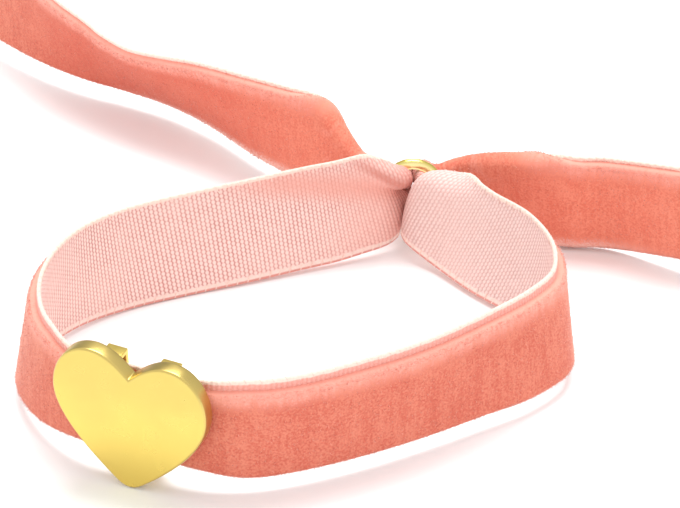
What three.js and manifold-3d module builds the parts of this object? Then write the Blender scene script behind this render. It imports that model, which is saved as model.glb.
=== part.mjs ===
// A velvet ribbon bracelet: one ribbon that loops round the wrist, a heart slider
// threaded on its front, and a small ring at the back that gathers both ends, which
// then fan out again as two free tails. Millimetres, +Z up, the loop standing on edge.

import * as THREE from 'three';
import { mergeVertices } from 'three/addons/utils/BufferGeometryUtils.js';
import Module from 'manifold-3d';

const wasm = await Module();
wasm.setup();

// ---------- driving dimensions ----------

const RIBBON_WIDTH = 10;        // cut width of the ribbon
const WOVEN_HALF = 0.2;         // woven base behind its own mid-surface
const EDGE_PILE = [0.3, 0.8];   // share of the pile's height at the edge and one facet in
const LOW_STEPS = 8;            // facets across the lower fold
const TOP_STEPS = 6;            // facets across the upper fold
const LONG_STEP = 2.4;          // facet length where the ribbon runs free
const MIDDLE_STEP = 1.3;        // facet length where it starts to fold
const SHORT_STEP = 0.7;         // facet length where it is gathered
const GATHER_REACH = 8.5;       // the ribbon is gathered this far from the ring
const FOLD_REACH = 18;          // and folded this far from it

const RING_OUTER = 2.8;         // outer radius of the gathering ring
const RING_INNER = 2.0;         // radius of its hole
const RING_DEPTH = 0.85;        // its length along the hole
const RING_CENTRE = { x: 6.6, y: 3.0, z: 5.3 };
const RING_SIDES = 28;
const RING_ROUND = 0.18;        // corner radius of its section

const HEART_WIDTH = 13.6;
const HEART_HEIGHT = 12.75;
const HEART_CLEFT = 10.8;       // height of the notch between the lobes
const HEART_PLATE = 1.45;       // thickness of the heart plate
const HEART_EDGE = 0.2;         // rounding of its rims
const HEART_TIP = { x: -17.1, y: -39.1 };
const HEART_YAW = -23.5;        // degrees, its right side turned to the front
const HEART_LEAN = 4.5;         // degrees, its top leaning outwards
const HEART_ROLL = 3.5;         // degrees, its top leaning to the right
const SLOT_DEPTH = 1.4;         // space behind the plate for the ribbon
const SLOT_FOOT = 1.5;          // lower end of that slot, above the tip
const SLOT_HEIGHT = 9.5;
const LOOP_WALL = 0.4;          // wall of the two loops behind the plate
const LOOP_BACK = 0.4;          // thickness of their back bars
const LOOP_WIDTH = 1.4;
const LOOP_SPACING = 4.6;       // between the middles of the two loops, at their top
const LOOP_TAPER = 0.4;         // share by which they draw together down to the tip
const JOINT = 0.2;              // how far the loops are let into the plate

// The foot of the ribbon, row by row from the free end of the left tail to the free end
// of the right one. lift: height of the foot. out: how far the upper edge stands out to
// the velvet side of the foot. ahead: how far it runs ahead of the foot.
const ROUTE = [
  { x: -37.6, y: 45.4, lift: 2, out: -1.2, ahead: 0.2 },    // left tail, free end
  { x: -34.3, y: 41.1, lift: 1.9, out: -0.3, ahead: 0.2 },
  { x: -29.6, y: 36.2, lift: 1.8, out: 1.3, ahead: 0.1 },
  { x: -25, y: 32.6, lift: 1.8, out: 3.5, ahead: 0 },
  { x: -20.6, y: 30.2, lift: 1.8, out: 5.4, ahead: 0 },
  { x: -16.3, y: 27.3, lift: 1.8, out: 6.1, ahead: 0 },
  { x: -11.8, y: 22.7, lift: 1.6, out: 5, ahead: 0 },
  { x: -7.6, y: 16.8, lift: 1.3, out: 2.7, ahead: 0 },
  { x: -4.4, y: 13, lift: 1.2, out: 1.2, ahead: 0.3 },
  { x: -1.4, y: 9.8, lift: 1.2, out: 0.2, ahead: 0.5 },
  { x: 0.9, y: 7.9, lift: 1.3, out: 0, ahead: 0.3 },
  { x: 2.9, y: 6.5, lift: 1.7, out: 0, ahead: 0 },
  { x: 4.8, y: 5.2, lift: 2.4, out: 1, ahead: 0 },
  { x: 5.4, y: 4.2, lift: 3.3, out: 2.4, ahead: 0 },
  { x: 5.5, y: 3.55, lift: 3.9, out: 1.8, ahead: 0 },
  { x: 5.55, y: 3, lift: 3.95, out: 1.8, ahead: 0, at: 'ring' },
  { x: 5.5, y: 2.45, lift: 3.85, out: 1.8, ahead: 0 },
  { x: 5.4, y: 1.9, lift: 2.4, out: 1.4, ahead: 0 },
  { x: 5.1, y: 1.15, lift: 1.15, out: 0.9, ahead: 0 },
  { x: 4.1, y: 0.25, lift: 0.8, out: 0.3, ahead: 0 },
  { x: 2.2, y: -1, lift: 0.7, out: 0.4, ahead: -0.1 },
  { x: -0.3, y: -2.2, lift: 0.45, out: 0.6, ahead: -0.3 },
  { x: -3, y: -3.3, lift: 0.35, out: 0.8, ahead: -0.5 },
  { x: -8.3, y: -5.5, lift: 0.15, out: 0.9, ahead: -0.5 },    // back of the loop, left
  { x: -13.7, y: -7.6, lift: 0, out: 0.7, ahead: -0.3 },
  { x: -18.9, y: -10.3, lift: 0.1, out: 0.3, ahead: 0.1 },
  { x: -23.1, y: -14, lift: 0.4, out: -0.5, ahead: 0 },
  { x: -26, y: -19.2, lift: 0.7, out: -1.4, ahead: 0 },    // left end of the loop
  { x: -26.8, y: -24.9, lift: 0.9, out: -1.7, ahead: 0.2 },
  { x: -24.7, y: -30.6, lift: 1.2, out: -0.6, ahead: 0.2 },
  { x: -20.8, y: -35, lift: 1.9, out: 0.8, ahead: 0 },    // into the heart slider
  { x: -16.2, y: -37.05, lift: 1.95, out: 0.8, ahead: 0, at: 'heart' },
  { x: -11.6, y: -39, lift: 1.7, out: 0.9, ahead: 0 },    // out of the heart slider
  { x: -7.8, y: -39.5, lift: 1.2, out: 1.2, ahead: 0 },
  { x: -3.8, y: -38.6, lift: 1.2, out: 1.4, ahead: 0 },    // front of the loop
  { x: 1.5, y: -36.3, lift: 1.2, out: 1.2, ahead: -0.2 },
  { x: 6.5, y: -33.5, lift: 1.2, out: 1, ahead: -0.3 },
  { x: 11.4, y: -30.3, lift: 1.2, out: 0.3, ahead: -0.3 },
  { x: 16.1, y: -27, lift: 1.1, out: -0.9, ahead: -0.4 },
  { x: 19.2, y: -22.6, lift: 0.9, out: -1.4, ahead: 0 },    // right end of the loop
  { x: 18.6, y: -16.9, lift: 0.6, out: -0.3, ahead: 0.5 },
  { x: 15.5, y: -12.1, lift: 0.4, out: 1.4, ahead: 0.4 },
  { x: 11.7, y: -7.6, lift: 0.35, out: 1.7, ahead: 0 },    // back of the loop, right
  { x: 8.6, y: -3.4, lift: 0.6, out: 1.5, ahead: 0 },
  { x: 7, y: -1.8, lift: 1.15, out: 1.5, ahead: 0 },
  { x: 5.9, y: -0.5, lift: 1.6, out: 1.6, ahead: 0 },
  { x: 5.65, y: 0.3, lift: 2, out: 1.8, ahead: 0 },
  { x: 6, y: 1.1, lift: 2.5, out: 1.9, ahead: 0 },
  { x: 6.8, y: 1.8, lift: 3, out: 1.8, ahead: 0 },
  { x: 7.5, y: 2.45, lift: 3.85, out: 1.8, ahead: 0 },
  { x: 7.65, y: 3, lift: 3.95, out: 1.8, ahead: 0, at: 'ring' },
  { x: 7.75, y: 3.55, lift: 3.9, out: 1.8, ahead: 0 },
  { x: 7.8, y: 4.2, lift: 3.3, out: 2.4, ahead: 0 },
  { x: 8.5, y: 5.2, lift: 2.4, out: 1.4, ahead: 0 },
  { x: 10.3, y: 5.8, lift: 1.5, out: 0.6, ahead: 0 },
  { x: 11.9, y: 5.7, lift: 1, out: 1.2, ahead: 0 },
  { x: 14.1, y: 4.7, lift: 0.5, out: 1.6, ahead: 0 },
  { x: 17, y: 2.9, lift: 0.2, out: 1.6, ahead: 0 },
  { x: 20.3, y: 1.4, lift: 0, out: 1.6, ahead: 0 },    // right tail
  { x: 23.7, y: 1, lift: 0.1, out: 1.9, ahead: 0 },
  { x: 25.6, y: 0.2, lift: 0.3, out: 2.1, ahead: 0 },
  { x: 27.7, y: -1.2, lift: 0.7, out: 2.1, ahead: 0 },
  { x: 30.4, y: -3.1, lift: 1.2, out: 2, ahead: 0 },
  { x: 33.2, y: -4.7, lift: 1.6, out: 1.8, ahead: 0 },    // right tail, free end
];

// How the ribbon is folded lengthwise near each pass through the ring. run: distance
// from the ring, ahead of it positive. low and top: degrees through which the lower and
// the upper fold curl to the velvet side. crease: degrees of the crease between them.
// fold: width of the lower fold. squeeze: share of the width left when crushed.
// pile: height of the pile over the woven base.
const LEFT_GATHER = [
  { run: -14.5, low: 0, crease: 0, top: 0, fold: 9.4, squeeze: 1, pile: 0.75 },
  { run: -12.5, low: 0, crease: 60, top: 0, fold: 9.1, squeeze: 1, pile: 0.75 },
  { run: -11.2, low: 5, crease: 130, top: 0, fold: 8.4, squeeze: 1, pile: 0.75 },
  { run: -10.2, low: 5, crease: 155, top: 0, fold: 7.6, squeeze: 1, pile: 0.75 },
  { run: -9.2, low: 5, crease: 160, top: 0, fold: 6.5, squeeze: 1, pile: 0.72 },
  { run: -8.2, low: 10, crease: 165, top: 0, fold: 5.5, squeeze: 1, pile: 0.7 },
  { run: -7, low: 20, crease: 165, top: 0, fold: 4.4, squeeze: 1, pile: 0.6 },
  { run: -4.8, low: 90, crease: 180, top: 0, fold: 4.8, squeeze: 0.85, pile: 0.45 },
  { run: -2.8, low: 190, crease: 200, top: 50, fold: 6.4, squeeze: 0.66, pile: 0.25 },
  { run: -1.4, low: 205, crease: 220, top: 150, fold: 6.2, squeeze: 0.55, pile: 0.15 },
  { run: -0.6, low: 210, crease: 235, top: 195, fold: 5.3, squeeze: 0.47, pile: 0.1 },
  { run: 0.7, low: 210, crease: 235, top: 195, fold: 5.3, squeeze: 0.47, pile: 0.1 },
  { run: 1.5, low: 110, crease: 190, top: 250, fold: 5, squeeze: 0.66, pile: 0.15 },
  { run: 2.6, low: 60, crease: 150, top: 255, fold: 4.9, squeeze: 0.85, pile: 0.35 },
  { run: 4.8, low: 30, crease: 115, top: 200, fold: 6.2, squeeze: 0.98, pile: 0.6 },
  { run: 7.5, low: 0, crease: 25, top: 50, fold: 6.8, squeeze: 1, pile: 0.75 },
  { run: 9.5, low: 0, crease: 0, top: 0, fold: 6.8, squeeze: 1, pile: 0.75 },
];
const RIGHT_GATHER = [
  { run: -13, low: 0, crease: 0, top: 0, fold: 7.6, squeeze: 1, pile: 0.75 },
  { run: -10.4, low: 0, crease: 0, top: 45, fold: 7.2, squeeze: 1, pile: 0.75 },
  { run: -8.6, low: 0, crease: 0, top: 105, fold: 6.8, squeeze: 1, pile: 0.75 },
  { run: -7.2, low: 5, crease: 0, top: 135, fold: 6.9, squeeze: 0.97, pile: 0.7 },
  { run: -6, low: 10, crease: 0, top: 160, fold: 6.7, squeeze: 0.93, pile: 0.6 },
  { run: -4.8, low: 10, crease: 0, top: 190, fold: 6.2, squeeze: 0.88, pile: 0.5 },
  { run: -3.4, low: 20, crease: 0, top: 215, fold: 5.2, squeeze: 0.78, pile: 0.35 },
  { run: -2.2, low: 50, crease: 30, top: 220, fold: 4.2, squeeze: 0.68, pile: 0.22 },
  { run: -1.3, low: 140, crease: 140, top: 210, fold: 4.4, squeeze: 0.56, pile: 0.15 },
  { run: -0.6, low: 205, crease: 235, top: 195, fold: 5.2, squeeze: 0.46, pile: 0.1 },
  { run: 0.6, low: 205, crease: 235, top: 195, fold: 5.2, squeeze: 0.46, pile: 0.1 },
  { run: 1.4, low: 200, crease: 215, top: 150, fold: 5.8, squeeze: 0.54, pile: 0.15 },
  { run: 3, low: 170, crease: 200, top: 50, fold: 5.6, squeeze: 0.7, pile: 0.3 },
  { run: 4.8, low: 70, crease: 175, top: 0, fold: 4.9, squeeze: 0.9, pile: 0.55 },
  { run: 7, low: 15, crease: 155, top: 0, fold: 5.8, squeeze: 1, pile: 0.7 },
  { run: 8.5, low: 5, crease: 145, top: 0, fold: 6.7, squeeze: 1, pile: 0.75 },
  { run: 10.5, low: 5, crease: 140, top: 0, fold: 7.6, squeeze: 1, pile: 0.75 },
  { run: 13, low: 0, crease: 140, top: 0, fold: 8.6, squeeze: 1, pile: 0.75 },
  { run: 15.2, low: 0, crease: 130, top: 0, fold: 9.5, squeeze: 1, pile: 0.75 },
  { run: 17, low: 0, crease: 0, top: 0, fold: 9.9, squeeze: 1, pile: 0.75 },
];

// The ribbon is crushed a little where it is threaded through the heart slider.
const HEART_PRESS = [
  { run: -9, low: 0, crease: 0, top: 0, fold: 6, squeeze: 1, pile: 0.75 },
  { run: -4.5, low: 0, crease: 0, top: 0, fold: 6, squeeze: 0.88, pile: 0.6 },
  { run: 4.5, low: 0, crease: 0, top: 0, fold: 6, squeeze: 0.88, pile: 0.6 },
  { run: 9, low: 0, crease: 0, top: 0, fold: 6, squeeze: 1, pile: 0.75 },
];

const COLOURS = {
  velvet: { color: 0xe8705f, roughness: 0.95, metalness: 0 },
  heartGold: { color: 0xe9cf6a, roughness: 0.35, metalness: 1 },
  ringGold: { color: 0xd9c04f, roughness: 0.25, metalness: 1 },
};

// ---------- helpers ----------

const radians = THREE.MathUtils.degToRad;

function piece(name, geometry, look) {
  const mesh = new THREE.Mesh(geometry, new THREE.MeshStandardMaterial(look));
  mesh.name = name;
  return mesh;
}

function toSolid(geometry) {
  const bare = geometry.clone();
  bare.deleteAttribute('normal');
  bare.deleteAttribute('uv');
  const merged = mergeVertices(bare, 1e-4);
  return new wasm.Manifold(new wasm.Mesh({
    numProp: 3,
    vertProperties: Float32Array.from(merged.attributes.position.array),
    triVerts: Uint32Array.from(merged.index.array),
  }));
}

function toGeometry(solid) {
  const mesh = solid.getMesh();
  const geometry = new THREE.BufferGeometry();
  geometry.setAttribute('position', new THREE.BufferAttribute(mesh.vertProperties, 3));
  geometry.setIndex(new THREE.BufferAttribute(mesh.triVerts, 1));
  geometry.computeVertexNormals();
  return geometry;
}

// A smooth curve through the rows of the route, read at a place along it.
function through(rows, places) {
  const columns = ['x', 'y', 'lift', 'out', 'ahead'];
  const values = rows.flatMap((row) => columns.map((column) => row[column]));
  const curve = new THREE.CubicInterpolant(places, values, columns.length);
  return (place) => {
    const kept = Math.min(Math.max(place, places[0]), places[places.length - 1]);
    const found = curve.evaluate(kept);
    return Object.fromEntries(columns.map((column, k) => [column, found[k]]));
  };
}

// The same table read with straight lines between its rows.
function between(rows, place) {
  const last = rows.length - 1;
  if (place <= rows[0].run) return rows[0];
  if (place >= rows[last].run) return rows[last];
  const k = rows.findIndex((row) => row.run > place);
  const share = (place - rows[k - 1].run) / (rows[k].run - rows[k - 1].run);
  return Object.fromEntries(Object.keys(rows[k]).map(
    (column) => [column, THREE.MathUtils.lerp(rows[k - 1][column], rows[k][column], share)],
  ));
}

// ---------- the ribbon ----------

// Places of the rows along the ribbon, measured along its foot.
function rowPlaces() {
  const places = [0];
  for (let k = 1; k < ROUTE.length; k += 1) {
    const a = ROUTE[k - 1];
    const b = ROUTE[k];
    places.push(places[k - 1] + Math.hypot(b.x - a.x, b.y - a.y, b.lift - a.lift));
  }
  return places;
}

// The profile across the ribbon: height over the foot, depth to the velvet side, and the
// angle of the surface, for the lower fold, the crease and the upper fold.
function profile({ low, crease, top, fold, squeeze }) {
  const points = [{ height: 0, depth: 0, angle: radians(low / 2) }];
  const parts = [
    { width: fold, steps: LOW_STEPS, start: low / 2, turn: low },
    {
      width: RIBBON_WIDTH - fold,
      steps: TOP_STEPS,
      start: crease - low / 2,
      turn: top,
    },
  ];
  let height = 0;
  let depth = 0;
  for (const part of parts) {
    const step = (part.width * squeeze) / part.steps;
    for (let k = 0; k < part.steps; k += 1) {
      const middle = radians(part.start - (part.turn * (k + 0.5)) / part.steps);
      height += Math.cos(middle) * step;
      depth -= Math.sin(middle) * step;
      const angle = radians(part.start - (part.turn * (k + 1)) / part.steps);
      points.push({ height, depth, angle });
    }
  }
  // at the crease the surface faces half way between the two folds
  const atCrease = points[LOW_STEPS];
  atCrease.angle += radians(crease) / 2;
  return points;
}

function sectionAt(place, routeAt, gathers, heartPlace) {
  const here = routeAt(place);
  const before = routeAt(place - 0.2);
  const after = routeAt(place + 0.2);
  const travel = new THREE.Vector3(after.x - before.x, after.y - before.y, 0).normalize();
  const side = new THREE.Vector3(travel.y, -travel.x, 0);
  const rise = Math.sqrt(RIBBON_WIDTH ** 2 - here.out ** 2 - here.ahead ** 2);
  const up = new THREE.Vector3(0, 0, rise)
    .addScaledVector(side, here.out)
    .addScaledVector(travel, here.ahead)
    .normalize();
  const out = new THREE.Vector3().crossVectors(travel, up).normalize();
  const foot = new THREE.Vector3(here.x, here.y, here.lift);
  const near = gathers.find((gather) => Math.abs(place - gather.place) < FOLD_REACH);
  const fold = near
    ? between(near.rows, place - near.place)
    : between(HEART_PRESS, place - heartPlace);
  const woven = [];
  const velvet = [];
  const points = profile(fold);
  points.forEach((point, k) => {
    const fromEdge = Math.min(k, points.length - 1 - k);
    const pile = fold.pile * (EDGE_PILE[fromEdge] ?? 1);
    const base = foot.clone()
      .addScaledVector(up, point.height)
      .addScaledVector(out, point.depth);
    const facing = out.clone().multiplyScalar(Math.cos(point.angle))
      .addScaledVector(up, Math.sin(point.angle));
    woven.push(base.clone().addScaledVector(facing, -WOVEN_HALF));
    velvet.push(base.clone().addScaledVector(facing, pile));
  });
  return [...woven, ...velvet.reverse()];
}

// Where the sections stand: long steps along the free stretches, short ones in the gathers.
function sectionPlaces(total, rings) {
  const places = [0];
  let place = 0;
  while (place < total) {
    const nearest = Math.min(...rings.map((ring) => Math.abs(ring - place)));
    if (nearest < GATHER_REACH) place += SHORT_STEP;
    else if (nearest < FOLD_REACH) place += MIDDLE_STEP;
    else place += LONG_STEP;
    places.push(Math.min(place, total));
  }
  return places;
}

function ribbonGeometry() {
  const rows = rowPlaces();
  const routeAt = through(ROUTE, rows);
  const [leftRing, rightRing] = rows.filter((row, k) => ROUTE[k].at === 'ring');
  const heart = rows.find((row, k) => ROUTE[k].at === 'heart');
  const gathers = [
    { place: leftRing, rows: LEFT_GATHER },
    { place: rightRing, rows: RIGHT_GATHER },
  ];
  const places = sectionPlaces(rows[rows.length - 1], [leftRing, rightRing]);
  const sections = places.map((place) => sectionAt(place, routeAt, gathers, heart));
  const round = sections[0].length;
  const across = round / 2;
  const index = [];
  const quad = (a, b, c, d) => index.push(a, c, b, a, d, c);
  for (let k = 0; k + 1 < sections.length; k += 1) {
    for (let j = 0; j < round; j += 1) {
      const next = (j + 1) % round;
      const here = k * round;
      const there = here + round;
      quad(here + j, there + j, there + next, here + next);
    }
  }
  const last = (sections.length - 1) * round;
  for (let j = 0; j + 1 < across; j += 1) {
    const opposite = round - 1 - j;
    quad(j, j + 1, opposite - 1, opposite);
    quad(last + j, last + opposite, last + opposite - 1, last + j + 1);
  }
  const geometry = new THREE.BufferGeometry().setFromPoints(sections.flat());
  geometry.setIndex(index);
  geometry.computeVertexNormals();
  return geometry;
}

// ---------- the gathering ring ----------

function ringGeometry() {
  const half = RING_DEPTH / 2;
  const r = RING_ROUND;
  const profilePoints = [
    [RING_INNER + r, -half],
    [RING_OUTER - r, -half],
    [RING_OUTER, -half + r],
    [RING_OUTER, half - r],
    [RING_OUTER - r, half],
    [RING_INNER + r, half],
    [RING_INNER, half - r],
    [RING_INNER, -half + r],
    [RING_INNER + r, -half],
  ].map(([radius, along]) => new THREE.Vector2(radius, along));
  return new THREE.LatheGeometry(profilePoints, RING_SIDES);
}

function goldRing() {
  const ring = piece('gold_ring', toGeometry(toSolid(ringGeometry())), COLOURS.ringGold);
  ring.position.set(RING_CENTRE.x, RING_CENTRE.y, RING_CENTRE.z);
  return ring;
}

// ---------- the heart slider ----------

// The heart seen from the front, its tip at the origin.
function heartShape() {
  const half = HEART_WIDTH / 2;
  const shape = new THREE.Shape();
  const side = (sign) => {
    const lobe = [
      [0.9, HEART_CLEFT + 0.9, 2.0, HEART_HEIGHT, 3.4, HEART_HEIGHT],
      [5.4, HEART_HEIGHT, half, 10.8, half, 8.5],
      [half, 6.2, 4.7, 3.4, 1.1, 0.45],
    ];
    return lobe.map((numbers) => numbers.map((n, k) => (k % 2 ? n : n * sign)));
  };
  shape.moveTo(0, HEART_CLEFT);
  for (const curve of side(1)) shape.bezierCurveTo(...curve);
  shape.quadraticCurveTo(0, -0.45, -1.1, 0.45);
  const left = side(-1).reverse();
  const ends = [[left[1][4], left[1][5]], [left[2][4], left[2][5]], [0, HEART_CLEFT]];
  left.forEach((curve, k) => {
    shape.bezierCurveTo(curve[2], curve[3], curve[0], curve[1], ends[k][0], ends[k][1]);
  });
  return shape;
}

// A box from one corner to the other: x across, y to the back, z up.
function block(x0, x1, y0, y1, z0, z1) {
  const box = new THREE.BoxGeometry(x1 - x0, y1 - y0, z1 - z0);
  box.translate((x0 + x1) / 2, (y0 + y1) / 2, (z0 + z1) / 2);
  return toSolid(box);
}

function heartSolid() {
  const plate = new THREE.ExtrudeGeometry(heartShape(), {
    depth: HEART_PLATE - 2 * HEART_EDGE,
    curveSegments: 9,
    bevelThickness: HEART_EDGE,
    bevelSize: HEART_EDGE,
    bevelOffset: -HEART_EDGE,
    bevelSegments: 2,
  });
  plate.translate(0, 0, HEART_EDGE - HEART_PLATE);
  plate.rotateX(Math.PI / 2);
  let solid = toSolid(plate);
  const joint = HEART_PLATE - JOINT;
  const back = HEART_PLATE + SLOT_DEPTH;
  const outer = back + LOOP_BACK;
  const top = SLOT_FOOT + SLOT_HEIGHT;
  const foot = SLOT_FOOT - LOOP_WALL;
  for (const side of [-1, 1]) {
    const middle = (side * LOOP_SPACING) / 2;
    const left = middle - LOOP_WIDTH / 2;
    const right = middle + LOOP_WIDTH / 2;
    const loop = block(left, right, joint, outer, top, top + LOOP_WALL)
      .add(block(left, right, joint, outer, foot, SLOT_FOOT))
      .add(block(left, right, back, outer, foot, top + LOOP_WALL))
      .warp((point) => {
        point[0] *= 1 - (LOOP_TAPER * (top - point[2])) / SLOT_HEIGHT;
      });
    solid = solid.add(loop);
  }
  return solid;
}

function heartSlider() {
  const heart = piece('heart_slider', toGeometry(heartSolid()), COLOURS.heartGold);
  heart.rotation.order = 'ZXY';
  heart.rotation.z = radians(HEART_YAW);
  heart.rotation.x = radians(HEART_LEAN);
  heart.rotation.y = radians(HEART_ROLL);
  heart.position.set(HEART_TIP.x, HEART_TIP.y, 0);
  return heart;
}

// ---------- the bracelet ----------

const bracelet = new THREE.Group();
bracelet.add(
  piece('velvet_ribbon', ribbonGeometry(), COLOURS.velvet),
  goldRing(),
  heartSlider(),
);

// Stand it on the ground with the origin under the middle of its box.
bracelet.updateMatrixWorld(true);
const box = new THREE.Box3().setFromObject(bracelet, true);
const middle = box.getCenter(new THREE.Vector3());
bracelet.position.set(-middle.x, -middle.y, -box.min.z);

export default bracelet;
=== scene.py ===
import math
from types import SimpleNamespace

import bpy
import numpy as np
from mathutils import Matrix, Vector


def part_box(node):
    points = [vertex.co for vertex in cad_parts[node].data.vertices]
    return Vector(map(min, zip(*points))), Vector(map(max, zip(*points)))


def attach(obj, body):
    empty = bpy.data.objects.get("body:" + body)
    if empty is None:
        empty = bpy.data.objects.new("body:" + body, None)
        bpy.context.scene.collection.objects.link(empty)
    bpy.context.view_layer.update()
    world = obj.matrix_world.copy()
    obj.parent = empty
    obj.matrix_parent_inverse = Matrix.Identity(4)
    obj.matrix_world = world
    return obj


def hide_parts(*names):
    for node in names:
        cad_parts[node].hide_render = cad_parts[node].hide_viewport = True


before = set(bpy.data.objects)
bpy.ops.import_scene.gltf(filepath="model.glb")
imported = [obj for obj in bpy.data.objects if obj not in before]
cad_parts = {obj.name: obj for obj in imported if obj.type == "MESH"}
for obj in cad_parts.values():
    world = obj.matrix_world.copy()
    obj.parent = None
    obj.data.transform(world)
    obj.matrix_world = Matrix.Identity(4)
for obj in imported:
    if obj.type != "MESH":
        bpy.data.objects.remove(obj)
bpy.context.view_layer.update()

MM = 0.001

# ---------- sizes, in millimetres ----------

RIBBON_WIDTH = 10.0
WOVEN_BACK, WOVEN_FRONT = 0.2, 0.06          # the woven base, behind and before its mid-surface
SELVEDGE_ROUND = 0.13                        # rounding of its two edges
BEAD_PLACE, BEAD_RISE = 0.2, 0.3             # the thicker line along each edge: place, share added
PILE_FOOT, PILE_TOP = 0.3, 9.05              # the pile's lower and upper limits, on the loop
TAIL_PILE_TOP = 9.6                          # its upper limit on the tails, where it is brushed up
TAIL_BLEND = 8                               # how far along the loop it takes to come down
PILE_ROUND = 0.5                             # rounding of the pile's two edges
PILE_FINE, PILE_BROAD = 0.012, 0.018         # unevenness of its surface
RIB_PITCH, RIB_RISE = 0.4, 0.022             # the ribs of the weave across the ribbon
RIB_FRONT = 0.6                              # their height in front, as a share of that behind
DOT_PITCH = 0.417                            # the weave's second rhythm, across the ribs
WOVEN_STEP, PILE_STEP, STITCH_STEP = 0.1333, 0.22, 0.1   # steps along the ribbon
ROUTE_SOFT, FOLD_SOFT, BEND_SOFT = 0.5, 0.35, 0.35   # softening of route, folds and creases
RING_RUNS = (62, 199.7)                      # where the ring sits along the ribbon
GATHER_REACH = 18                            # how far its folds reach along the ribbon

STITCH_PITCH, STITCH_STRAY = 1.0, 0.05       # stitches that bind both edges
STITCH_ENDS = (0.6, 0.9)                     # how far they stay clear of the two cut ends
STITCH_RADII = (0.03, 0.045, 0.05, 0.05, 0.045, 0.03)
FIBRES = 13500                               # loose fibres over the pile, and as many at its edges
FIBRE_LONG, FIBRE_ROOT = (0.08, 0.2), 0.04   # shortest and longest, and how deep they start
FIBRE_RADII = (0.016, 0.012, 0.005)
FIBRE_STRAY, FIBRE_CURL = 0.5, 0.2           # how much they stray from upright, and bend
FIBRE_FRINGE, FIBRE_DROOP = 3.0, 0.8         # at the edges: columns that they cover, and lean

RING_CENTRE = np.array([6.6, 3.0, 5.3])
RING_OUTER, RING_INNER, RING_DEPTH = 2.8, 2.0, 0.85

HEART_WIDTH, HEART_HEIGHT, HEART_CLEFT = 13.6, 12.75, 10.8
HEART_PLATE, HEART_EDGE = 1.45, 0.22
HEART_TIP = (-17.1, -39.1, 0.0)
HEART_YAW, HEART_LEAN, HEART_ROLL = -23.5, 4.5, 3.5
SLOT_DEPTH, SLOT_FOOT, SLOT_HEIGHT = 1.4, 1.5, 9.5
LOOP_WALL, LOOP_BACK, LOOP_WIDTH, LOOP_SPACING, LOOP_TAPER = 0.4, 0.4, 1.7, 4.8, 0.4
LOOP_LET_IN, LOOP_ROUND = 0.15, 0.08         # how far they go into the plate, and their rounding

# from the sizes' own frame, on which the tables below stand too, to the part's frame
low, high = (np.array(v[:]) * 1000 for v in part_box("gold_ring"))
SHIFT = (low + high) / 2 - RING_CENTRE

# ---------- camera ----------

FOCUS_PX, WIDE_PX = 3500.0, 680.0            # focal length and picture width, in pixels
cam = bpy.data.cameras.new("camera")
camera = bpy.data.objects.new("camera", cam)
bpy.context.scene.collection.objects.link(camera)
cam.lens = FOCUS_PX / WIDE_PX * cam.sensor_width
aim = Vector(SHIFT * MM)
camera.location = aim + Vector((0.0, -0.2781, 0.1542))
camera.rotation_euler = (aim - camera.location).to_track_quat("-Z", "Y").to_euler()
cam.clip_start, cam.clip_end = 0.01, 10
bpy.context.scene.camera = camera

# ---------- the ribbon's tables ----------

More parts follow.
